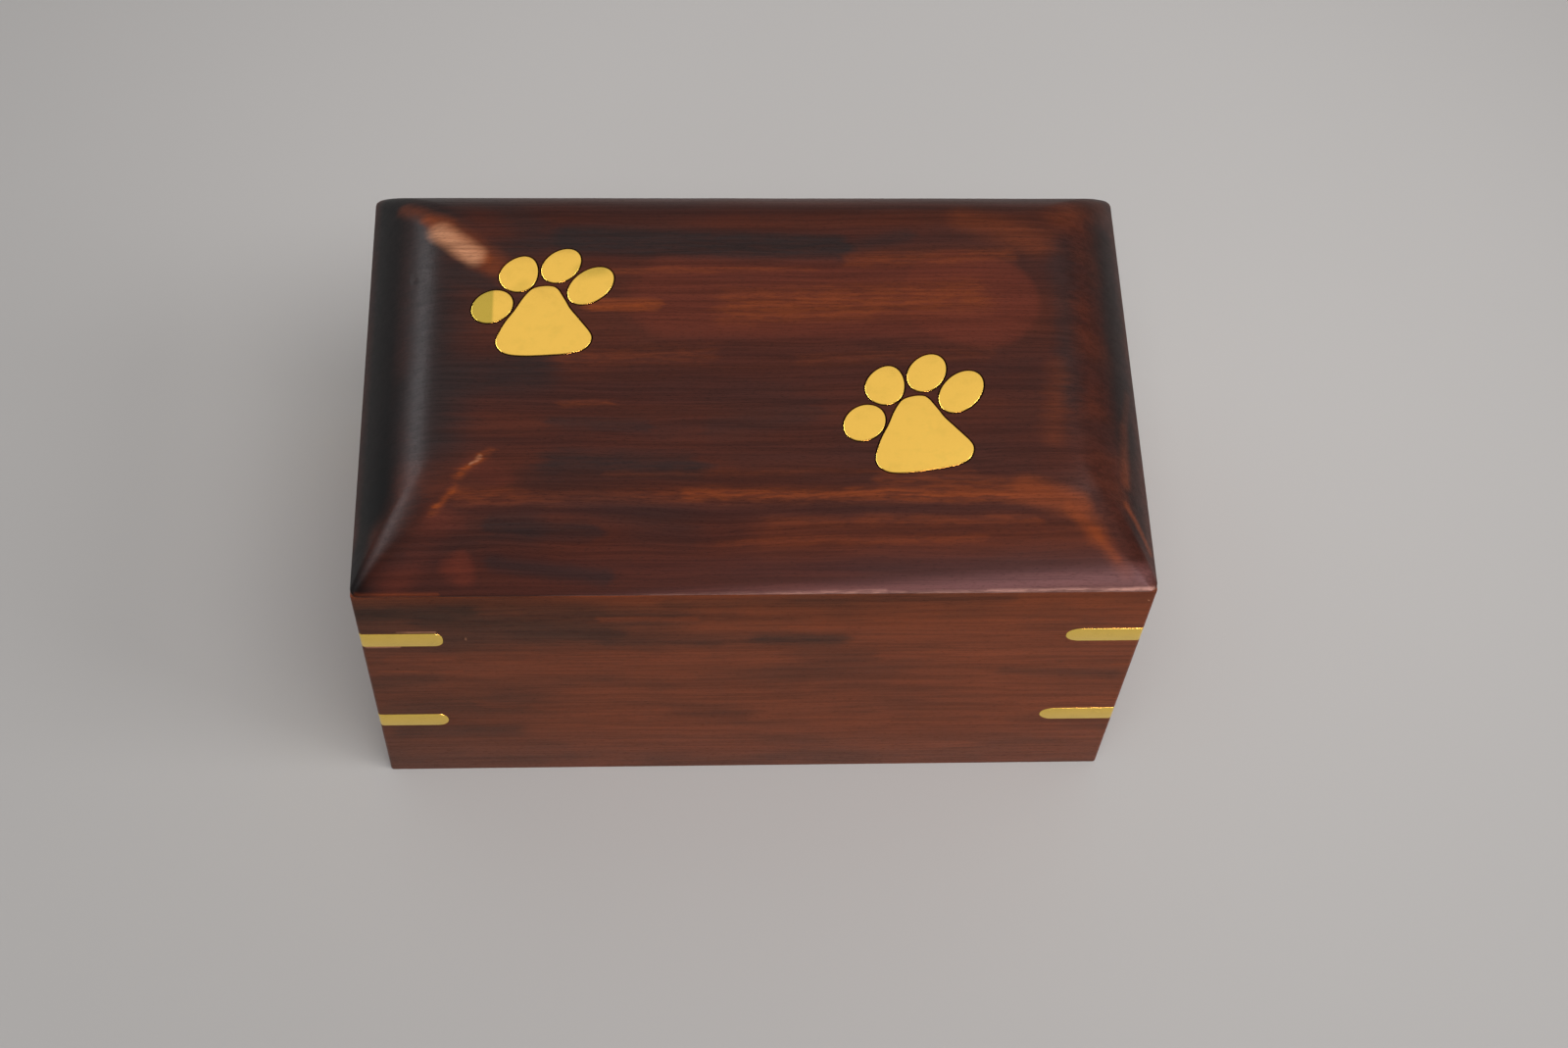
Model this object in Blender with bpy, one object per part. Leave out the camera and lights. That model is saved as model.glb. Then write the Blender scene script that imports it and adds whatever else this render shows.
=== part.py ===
"""Pet cremation urn: a small mitred wooden box under a moulded lid, with brass corner bands and brass paw prints.

Metres, +Z up. The origin is at the centre of the underside, the length runs along X and the front faces -Y.
"""

import itertools
import math

import bmesh
import bpy

# The walls
LENGTH = 0.127
DEPTH = 0.0774
WALL_HEIGHT = 0.0642
WALL_THICKNESS = 0.007
WALL_CORNER_RADIUS = 0.0006
CORNER_STEPS = 6

# What pieces that touch keep between them, and how far a cutter runs past what it cuts
GAP = 0.0003
OVERCUT = 0.001

# The base board, let up into a rebate along the foot of the walls
BASE_THICKNESS = 0.006
REBATE_WIDTH = 0.0035

# The lid: a short upright edge, then a slope that curves over into the flat
LID_EDGE = 0.0004
LID_RISE = 0.0113
SLOPE_WIDTH = 0.015
SLOPE_POWER = 2.2
SLOPE_STEPS = 12
LID_CORNER_RADIUS = 0.0015
FLAT_CORNER_RADIUS = 0.007
TONGUE_DEPTH = 0.004
TONGUE_CLEARANCE = 0.0005

# The brass bands. The front legs were trimmed by hand and differ a little from the length of the others
BAND_WIDTH = 0.0043
BAND_THICKNESS = 0.0012
BAND_TIP_FLAT = 0.0001
BAND_TIP_STEPS = 8
BAND_LEG = 0.013
UPPER_BAND_BELOW_WALL_TOP = 0.0142
LOWER_BAND_ABOVE_FOOT = 0.0204
FRONT_LEG_TRIM = {
    ("left", "upper"): 0.0003,
    ("left", "lower"): -0.0011,
    ("right", "upper"): -0.0004,
    ("right", "lower"): 0.0,
}

# The paw prints, each placed by its clearance from the two nearest edges of the lid's flat
INLAY_THICKNESS = 0.0015
INLAY_CLEARANCE = 0.0002
LEFT_PAW_WIDTH = 0.0231
LEFT_PAW_TILT = math.radians(3.4)
LEFT_PAW_FROM_LEFT = 0.0031
LEFT_PAW_FROM_BACK = 0.0039
RIGHT_PAW_WIDTH = 0.0237
RIGHT_PAW_TILT = math.radians(9.1)
RIGHT_PAW_FROM_RIGHT = 0.0118
RIGHT_PAW_FROM_FRONT = 0.0002

# The paw's design, in shares of its width. A toe has a middle, half length, half width, tilt and taper,
# and the pad has points on each of its sides, clockwise
TOES = {
    "toe_1": ((-0.349, 0.189), 0.155, 0.127, math.radians(37), 0.0),
    "toe_2": ((-0.147, 0.461), 0.158, 0.129, math.radians(61), 0.15),
    "toe_3": ((0.150, 0.513), 0.163, 0.120, math.radians(47), 0.04),
    "toe_4": ((0.347, 0.327), 0.191, 0.126, math.radians(41.5), 0.0),
}
TOE_STEPS = 32
PAD = {
    "top": ((-0.038, 0.334), (0.092, 0.331)),
    "right": ((0.153, 0.230), (0.191, 0.141), (0.258, 0.032), (0.329, -0.103), (0.282, -0.200)),
    "foot": ((0.171, -0.235), (0.0, -0.241), (-0.171, -0.235)),
    "left": ((-0.285, -0.203), (-0.333, -0.112), (-0.274, 0.030), (-0.195, 0.144), (-0.116, 0.267)),
}
PAD_STEPS = 3

# Worked out from the sizes above
INNER_HALF_LENGTH = LENGTH / 2 - WALL_THICKNESS
INNER_HALF_DEPTH = DEPTH / 2 - WALL_THICKNESS
SEAT = WALL_HEIGHT + GAP
ARRIS = SEAT + LID_EDGE
LID_TOP = ARRIS + LID_RISE
FLAT_HALF_LENGTH = LENGTH / 2 - SLOPE_WIDTH
FLAT_HALF_DEPTH = DEPTH / 2 - SLOPE_WIDTH
INLAY_FLOOR = LID_TOP - INLAY_THICKNESS

WELD = 1e-6
COPLANAR_ANGLE = math.radians(0.5)
SHARP_ANGLE = math.radians(30)


def clear_scene():
    for leftover in list(bpy.data.objects):
        bpy.data.objects.remove(leftover)


def new_collection(name):
    collection = bpy.data.collections.new(name)
    bpy.context.scene.collection.children.link(collection)
    return collection


def finish(name, colour, roughness, metallic):
    material = bpy.data.materials.new(name)
    material.use_nodes = True
    shader = material.node_tree.nodes["Principled BSDF"]
    shader.inputs["Base Color"].default_value = (*colour, 1)
    shader.inputs["Roughness"].default_value = roughness
    shader.inputs["Metallic"].default_value = metallic
    return material


def new_object(name, mesh, collection, material=None, parent=None):
    made = bpy.data.objects.new(name, mesh)
    collection.objects.link(made)
    made.parent = parent
    if material:
        mesh.materials.clear()
        mesh.materials.append(material)
    return made


def raised(name, outline, height):
    """A mesh that stands on z = 0: a closed outline in plan, filled and raised to the height."""
    curve = bpy.data.curves.new(name, "CURVE")
    curve.dimensions = "2D"
    curve.fill_mode = "BOTH"
    curve.extrude = height / 2
    spline = curve.splines.new("POLY")
    spline.points.add(len(outline) - 1)
    for point, (x, y) in zip(spline.points, outline):
        point.co = (x, y, 0, 1)
    spline.use_cyclic_u = True
    guide = bpy.data.objects.new(name + "_outline", curve)
    bpy.context.scene.collection.objects.link(guide)
    bpy.context.view_layer.update()
    mesh = bpy.data.meshes.new_from_object(guide.evaluated_get(bpy.context.evaluated_depsgraph_get()))
    mesh.name = name
    bpy.data.objects.remove(guide)
    bpy.data.curves.remove(curve)
    solid = bmesh.new()
    solid.from_mesh(mesh)
    bmesh.ops.translate(solid, vec=(0, 0, height / 2), verts=solid.verts)
    bmesh.ops.remove_doubles(solid, verts=solid.verts, dist=WELD)
    bmesh.ops.dissolve_limit(solid, angle_limit=COPLANAR_ANGLE, verts=solid.verts, edges=solid.edges)
    bmesh.ops.recalc_face_normals(solid, faces=solid.faces)
    solid.to_mesh(mesh)
    solid.free()
    return mesh


def block(name, half_x, half_y, height):
    """A box mesh that stands on z = 0."""
    solid = bmesh.new()
    bmesh.ops.create_cube(solid, size=1)
    bmesh.ops.scale(solid, vec=(2 * half_x, 2 * half_y, height), verts=solid.verts)
    bmesh.ops.translate(solid, vec=(0, 0, height / 2), verts=solid.verts)
    mesh = bpy.data.meshes.new(name)
    solid.to_mesh(mesh)
    solid.free()
    return mesh


def cut(target, cutter):
    cutter.hide_render = True
    cutter.display_type = "WIRE"
    boolean = target.modifiers.new("cut_" + cutter.name, "BOOLEAN")
    boolean.operation = "DIFFERENCE"
    boolean.solver = "EXACT"
    boolean.object = cutter


def arc(centre, radius, start, end, steps):
    turns = (start + (end - start) * step / steps for step in range(steps + 1))
    return [(centre[0] + radius * math.cos(turn), centre[1] + radius * math.sin(turn)) for turn in turns]


def mitred_outline(half_along, half_across):
    """Plan of a wall that faces -Y, from mitre to mitre, with its half of each rounded corner."""
    off_mitre = math.asin(GAP / 2 / WALL_CORNER_RADIUS)
    centre = (half_along - WALL_CORNER_RADIUS, WALL_CORNER_RADIUS - half_across)
    right = arc(centre, WALL_CORNER_RADIUS, -math.pi / 2, -math.pi / 4 - off_mitre, CORNER_STEPS // 2)
    inner_end = half_along - WALL_THICKNESS - GAP / math.sqrt(2)
    right.append((inner_end, WALL_THICKNESS - half_across))
    return right + [(-x, y) for x, y in reversed(right)]


def make_walls(collection, material, parent):
    """The four walls, the rebate along their foot and the pockets for the bands."""
    sides = {
        "front_wall": (0, LENGTH / 2, DEPTH / 2),
        "right_wall": (90, DEPTH / 2, LENGTH / 2),
        "back_wall": (180, LENGTH / 2, DEPTH / 2),
        "left_wall": (270, DEPTH / 2, LENGTH / 2),
    }
    walls = []
    for name, (turn, half_along, half_across) in sides.items():
        mesh = raised(name, mitred_outline(half_along, half_across), WALL_HEIGHT)
        wall = new_object(name, mesh, collection, material, parent)
        wall.rotation_euler.z = math.radians(turn)
        walls.append(wall)
    return walls


def make_base(collection, cutters, material, parent, walls):
    half_x = INNER_HALF_LENGTH + REBATE_WIDTH
    half_y = INNER_HALF_DEPTH + REBATE_WIDTH
    rebate = new_object("rebate", block("rebate", half_x, half_y, BASE_THICKNESS + GAP + OVERCUT), cutters)
    rebate.location.z = -OVERCUT
    for wall in walls:
        cut(wall, rebate)
    mesh = block("base_board", half_x - GAP, half_y - GAP, BASE_THICKNESS)
    new_object("base_board", mesh, collection, material, parent)


def rounded_rectangle(half_x, half_y, radius):
    points = []
    for quarter, (side_x, side_y) in enumerate(((1, 1), (-1, 1), (-1, -1), (1, -1))):
        centre = (side_x * (half_x - radius), side_y * (half_y - radius))
        start = quarter * math.pi / 2
        points += arc(centre, radius, start, start + math.pi / 2, CORNER_STEPS)
    return points


def slope_rise(share):
    """How far the lid has risen from its arris, at this share of the way across the slope."""
    return LID_RISE * (1 - (1 - share) ** SLOPE_POWER)


def lid_sections():
    """Plan and height of each section of the lid, from the underside of the tongue up to the flat."""
    tongue = (INNER_HALF_LENGTH - TONGUE_CLEARANCE, INNER_HALF_DEPTH - TONGUE_CLEARANCE, LID_CORNER_RADIUS)
    board = (LENGTH / 2, DEPTH / 2, LID_CORNER_RADIUS)
    sections = [(tongue, SEAT - TONGUE_DEPTH), (tongue, SEAT), (board, SEAT)]
    for step in range(SLOPE_STEPS + 1):
        share = step / SLOPE_STEPS
        inset = SLOPE_WIDTH * share
        radius = LID_CORNER_RADIUS + (FLAT_CORNER_RADIUS - LID_CORNER_RADIUS) * share
        sections.append(((LENGTH / 2 - inset, DEPTH / 2 - inset, radius), ARRIS + slope_rise(share)))
    return sections


def make_lid(collection, material, parent):
    """A loft through the sections, whose corners grow rounder towards the flat."""
    solid = bmesh.new()
    rings = []
    for plan, height in lid_sections():
        rings.append([solid.verts.new((x, y, height - SEAT)) for x, y in rounded_rectangle(*plan)])
    for below, above in zip(rings, rings[1:]):
        for i in range(len(below)):
            after = (i + 1) % len(below)
            solid.faces.new((below[i], below[after], above[after], above[i]))
    solid.faces.new(reversed(rings[0]))
    solid.faces.new(rings[-1])
    bmesh.ops.recalc_face_normals(solid, faces=solid.faces)
    mesh = bpy.data.meshes.new("lid")
    solid.to_mesh(mesh)
    solid.free()
    mesh.shade_smooth()
    mesh.set_sharp_from_angle(angle=SHARP_ANGLE)
    lid = new_object("lid", mesh, collection, material, parent)
    lid.location.z = SEAT
    return lid


def toe_outline(centre, half_length, half_width, tilt, taper):
    points = []
    for step in range(TOE_STEPS):
        turn = 2 * math.pi * step / TOE_STEPS
        along = half_length * math.cos(turn)
        across = half_width * math.sin(turn) * (1 - taper * math.cos(turn))
        points.append((
            centre[0] + along * math.cos(tilt) - across * math.sin(tilt),
            centre[1] + along * math.sin(tilt) + across * math.cos(tilt),
        ))
    return points


def through(before, start, end, after, share):
    """A smooth curve from start to end that heads for the points before and after them."""
    return 0.5 * (
        2 * start
        + (end - before) * share
        + (2 * before - 5 * start + 4 * end - after) * share**2
        + (3 * start - before - 3 * end + after) * share**3
    )


def pad_outline():
    corners = [corner for side in PAD.values() for corner in side]
    points = []
    for i in range(len(corners)):
        near = (corners[(i + k) % len(corners)] for k in (-1, 0, 1, 2))
        xs, ys = zip(*near)
        for step in range(PAD_STEPS):
            share = step / PAD_STEPS
            points.append((through(*xs, share), through(*ys, share)))
    return points


def paw_outlines(width, tilt):
    """The five outlines of a paw about the middle of its pad, tilted and at full size."""
    shapes = {"pad": pad_outline()}
    for name, toe in TOES.items():
        shapes[name] = toe_outline(*toe)
    for points in shapes.values():
        for i, (x, y) in enumerate(points):
            points[i] = (
                width * (x * math.cos(tilt) - y * math.sin(tilt)),
                width * (x * math.sin(tilt) + y * math.cos(tilt)),
            )
    return {name: anticlockwise(points) for name, points in shapes.items()}


def anticlockwise(points):
    area = sum(a[0] * b[1] - b[0] * a[1] for a, b in zip(points, points[1:] + points[:1]))
    return points if area > 0 else points[::-1]


def grown(outline, by):
    """An anticlockwise outline moved outwards along its normals."""
    points = []
    for i, (x, y) in enumerate(outline):
        along_x = outline[(i + 1) % len(outline)][0] - outline[i - 1][0]
        along_y = outline[(i + 1) % len(outline)][1] - outline[i - 1][1]
        length = math.hypot(along_x, along_y)
        points.append((x + by * along_y / length, y - by * along_x / length))
    return points


def reach(shapes, axis):
    """Lowest and highest coordinate of all the outlines along X (0) or Y (1)."""
    values = [point[axis] for points in shapes.values() for point in points]
    return min(values), max(values)


def make_inlays(collection, cutters, material, lid):
    """Ten flat brass pieces, flush with the lid's flat, each in a pocket of its own outline."""
    left = paw_outlines(LEFT_PAW_WIDTH, LEFT_PAW_TILT)
    left_at = (
        LEFT_PAW_FROM_LEFT - FLAT_HALF_LENGTH - reach(left, 0)[0],
        FLAT_HALF_DEPTH - LEFT_PAW_FROM_BACK - reach(left, 1)[1],
    )
    right = paw_outlines(RIGHT_PAW_WIDTH, RIGHT_PAW_TILT)
    right_at = (
        FLAT_HALF_LENGTH - RIGHT_PAW_FROM_RIGHT - reach(right, 0)[1],
        RIGHT_PAW_FROM_FRONT - FLAT_HALF_DEPTH - reach(right, 1)[0],
    )
    for side, shapes, (x, y) in (("left", left, left_at), ("right", right, right_at)):
        for name, outline in shapes.items():
            name = f"{side}_paw_{name}"
            inlay = new_object(name, raised(name, outline, INLAY_THICKNESS), collection, material, lid)
            inlay.location = (x, y, INLAY_FLOOR - SEAT)
            wide = grown(outline, INLAY_CLEARANCE)
            mesh = raised(name + "_pocket", wide, INLAY_THICKNESS + GAP + OVERCUT)
            pocket = new_object(name + "_pocket", mesh, cutters)
            pocket.location = (x, y, INLAY_FLOOR - GAP)
            cut(lid, pocket)


def band_outline(front_leg, side_leg, clearance):
    """Plan of a band about its corner of the box. With a clearance it is the pocket, which runs on outwards."""
    inner = BAND_THICKNESS + clearance
    if clearance:
        outer = [(front_leg, -OVERCUT), (-OVERCUT, -OVERCUT), (-OVERCUT, side_leg)]
    else:
        centre = (WALL_CORNER_RADIUS, WALL_CORNER_RADIUS)
        bend = arc(centre, WALL_CORNER_RADIUS, 1.5 * math.pi, math.pi, CORNER_STEPS)
        outer = [(front_leg, 0), *bend, (0, side_leg)]
    return outer + [(inner, side_leg), (inner, inner), (front_leg, inner)]


def band_mesh(name, front_leg, side_leg, side_x, side_y, clearance=0.0):
    """A strip bent around a corner of the box, level with z = 0, its two ends rounded."""
    front_leg += clearance
    side_leg += clearance
    width = BAND_WIDTH + 2 * clearance
    outline = band_outline(front_leg, side_leg, clearance)
    mesh = raised(name, [(side_x * x, side_y * y) for x, y in outline], width)
    solid = bmesh.new()
    solid.from_mesh(mesh)
    bmesh.ops.translate(solid, vec=(0, 0, -width / 2), verts=solid.verts)
    tips = []
    for edge in solid.edges:
        level = abs(edge.verts[0].co.z - edge.verts[1].co.z) < WELD
        at_front_end = all(abs(abs(vert.co.x) - front_leg) < WELD for vert in edge.verts)
        at_side_end = all(abs(abs(vert.co.y) - side_leg) < WELD for vert in edge.verts)
        if level and (at_front_end or at_side_end):
            tips.append(edge)
    bmesh.ops.bevel(
        solid,
        geom=tips,
        offset=(width - BAND_TIP_FLAT) / 2,
        offset_type="OFFSET",
        segments=BAND_TIP_STEPS,
        profile=0.5,
        affect="EDGES",
    )
    solid.to_mesh(mesh)
    solid.free()
    mesh.shade_smooth()
    mesh.set_sharp_from_angle(angle=SHARP_ANGLE)
    return mesh


def make_bands(collection, cutters, material, parent, walls):
    """An upper and a lower band at each corner, and their pockets in the walls."""
    levels = {
        "upper": WALL_HEIGHT - UPPER_BAND_BELOW_WALL_TOP,
        "lower": LOWER_BAND_ABOVE_FOOT,
    }
    ends = {"front": 1, "back": -1}
    sides = {"left": 1, "right": -1}
    for (end, side_y), (side, side_x), (level, height) in itertools.product(
        ends.items(), sides.items(), levels.items()
    ):
        name = f"corner_band_{end}_{side}_{level}"
        trim = FRONT_LEG_TRIM[side, level] if end == "front" else 0
        shape = (BAND_LEG + trim, BAND_LEG, side_x, side_y)
        band = new_object(name, band_mesh(name, *shape), collection, material, parent)
        pocket = new_object(name + "_pocket", band_mesh(name + "_pocket", *shape, GAP), cutters)
        for placed in (band, pocket):
            placed.location = (-side_x * LENGTH / 2, -side_y * DEPTH / 2, height)
        for wall in walls:
            if wall.name.startswith((end, side)):
                cut(wall, pocket)


def main():
    clear_scene()
    pieces = new_collection("pet_cremation_urn")
    cutters = new_collection("cutters")
    lid_wood = finish("lid_wood", (0.075, 0.026, 0.018), 0.35, 0.0)
    wall_wood = finish("wall_wood", (0.070, 0.030, 0.020), 0.40, 0.0)
    base_wood = finish("base_wood", (0.110, 0.050, 0.028), 0.55, 0.0)
    brass = finish("brass", (0.830, 0.560, 0.180), 0.25, 1.0)
    urn = bpy.data.objects.new("urn", None)
    pieces.objects.link(urn)
    walls = make_walls(pieces, wall_wood, urn)
    make_base(pieces, cutters, base_wood, urn, walls)
    make_bands(pieces, cutters, brass, urn, walls)
    lid = make_lid(pieces, lid_wood, urn)
    make_inlays(pieces, cutters, brass, lid)
    bpy.context.view_layer.update()


main()
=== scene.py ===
"""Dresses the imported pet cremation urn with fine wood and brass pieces, a floor, lights and a camera.

Metres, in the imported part's own frame: the length runs along X, the front faces -Y, +Z is up and
the origin is under the middle of the box.
"""

import math

import bmesh
import bpy
from mathutils import Matrix, Vector, noise


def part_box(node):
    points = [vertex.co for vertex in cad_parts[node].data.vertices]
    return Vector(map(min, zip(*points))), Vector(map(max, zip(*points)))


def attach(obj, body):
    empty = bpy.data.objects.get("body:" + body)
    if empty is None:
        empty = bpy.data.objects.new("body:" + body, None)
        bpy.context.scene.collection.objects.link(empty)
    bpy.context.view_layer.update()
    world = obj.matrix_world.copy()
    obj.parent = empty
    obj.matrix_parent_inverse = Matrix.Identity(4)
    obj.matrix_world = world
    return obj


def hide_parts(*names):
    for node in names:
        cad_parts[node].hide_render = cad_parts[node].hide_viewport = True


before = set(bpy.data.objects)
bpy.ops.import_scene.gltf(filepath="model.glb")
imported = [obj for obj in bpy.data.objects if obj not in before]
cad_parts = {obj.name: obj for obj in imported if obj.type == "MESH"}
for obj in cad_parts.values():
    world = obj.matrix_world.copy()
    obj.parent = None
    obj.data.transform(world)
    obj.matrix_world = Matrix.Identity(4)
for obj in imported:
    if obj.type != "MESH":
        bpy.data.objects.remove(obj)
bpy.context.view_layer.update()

bl_info = {
    "name": "Pet cremation urn",
    "version": (1, 0, 0),
    "blender": (4, 5, 0),
    "location": "View3D > Sidebar > Urn",
    "description": "Makes the wood and brass pieces of a small pet cremation urn and the stage around it",
    "category": "Object",
}

MM = 0.001
WELD = 1e-6
SMOOTH_ANGLE = math.radians(38)

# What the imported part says
BOX_LOW, BOX_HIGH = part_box("lid")
HALF_LENGTH = BOX_HIGH.x
HALF_DEPTH = BOX_HIGH.y
LID_TOP = BOX_HIGH.z
TONGUE_FOOT = BOX_LOW.z
FRONT_LOW, FRONT_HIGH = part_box("front_wall")
WALL_THICKNESS = FRONT_HIGH.y - FRONT_LOW.y
WALL_TOP = FRONT_HIGH.z
LID_CORNER_RADIUS = 1.5 * MM
WALL_CORNER_RADIUS = 0.6 * MM
SEAT = WALL_TOP + 0.3 * MM
ARRIS = SEAT + 0.4 * MM
TONGUE_CLEARANCE = 0.5 * MM
BAND_THICKNESS = 1.2 * MM

# Reflection of the satin stain, as the shader's specular level
WOOD_SHEEN = 0.1

# How finely the meshes are divided
CORNER_STEPS = 14
SIDE_STEPS_LONG = 150
SIDE_STEPS_SHORT = 100
SLOPE_STEPS = 44
FILLET_STEPS = 5
TIP_STEPS = 12
BEND_STEPS = 12
RIM_STEPS = 4

CAMERA_AT = Vector((-0.014976, -0.217139, 0.394042))
CAMERA_RIGHT = Vector((0.99866449, -0.03093557, 0.04137894))
CAMERA_UP = Vector((0.005976, 0.864711, 0.502234))
CAMERA_LENS = 54.836
SENSOR_WIDTH = 36.0

# How a mark's edge is: how much of it the patches of the wood leave out, and how ragged the grain makes it
CLEAR = (0.0, 0.05)
LOOSE = (0.0, 0.35)
THIN = (0.2, 0.05)
WORN = (0.6, 0.05)
SOFT = (0.2, 0.35)
STREAKY = (0.2, 0.6)
BROKEN = (0.6, 0.35)
FRAYED = (0.6, 0.6)

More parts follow.
